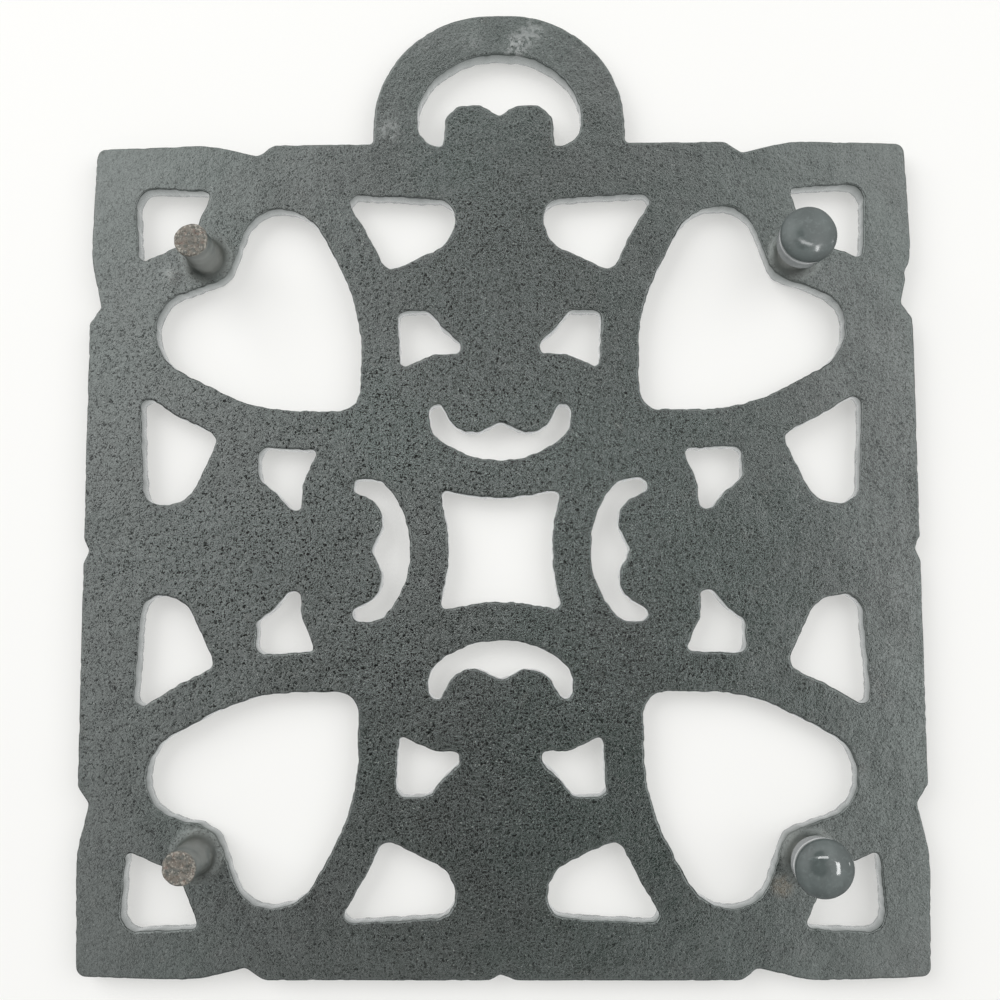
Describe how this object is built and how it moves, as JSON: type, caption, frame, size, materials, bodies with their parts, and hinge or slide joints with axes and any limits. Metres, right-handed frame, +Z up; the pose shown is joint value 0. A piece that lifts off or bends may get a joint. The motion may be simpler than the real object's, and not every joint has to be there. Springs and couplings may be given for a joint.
{
  "type": "trivet",
  "caption": "Square openwork cast iron trivet with hearts and scrolls, a hanging loop at the back, cast legs and slip-on rubber foot caps.",
  "frame": {"origin": "on the surface that the rubber caps stand on, under the middle of the whole outline, hanging loop included", "axes": "+Z up, from the feet to the pan face; +Y from the front edge towards the hanging loop; +X to the right, the side of the two bare pegs"},
  "size_m": [0.165, 0.1918, 0.0207],
  "materials": {
    "iron": "sand-cast, dry and dark, with rust on the bare peg ends",
    "rubber": "satin black moulded rubber"
  },
  "bodies": {
    "trivet": {"casting": "iron"},
    "front_cap": {"cap_front_left": "rubber"},
    "back_cap": {"cap_back_left": "rubber"}
  },
  "joints": [
    {"name": "cap_front_left_pull", "type": "slide", "parent": "trivet", "child": "front_cap", "axis": [0, 0, -1], "range_m": [0, 0.008]},
    {"name": "cap_back_left_pull", "type": "slide", "parent": "trivet", "child": "back_cap", "axis": [0, 0, -1], "range_m": [0, 0.008]}
  ]
}
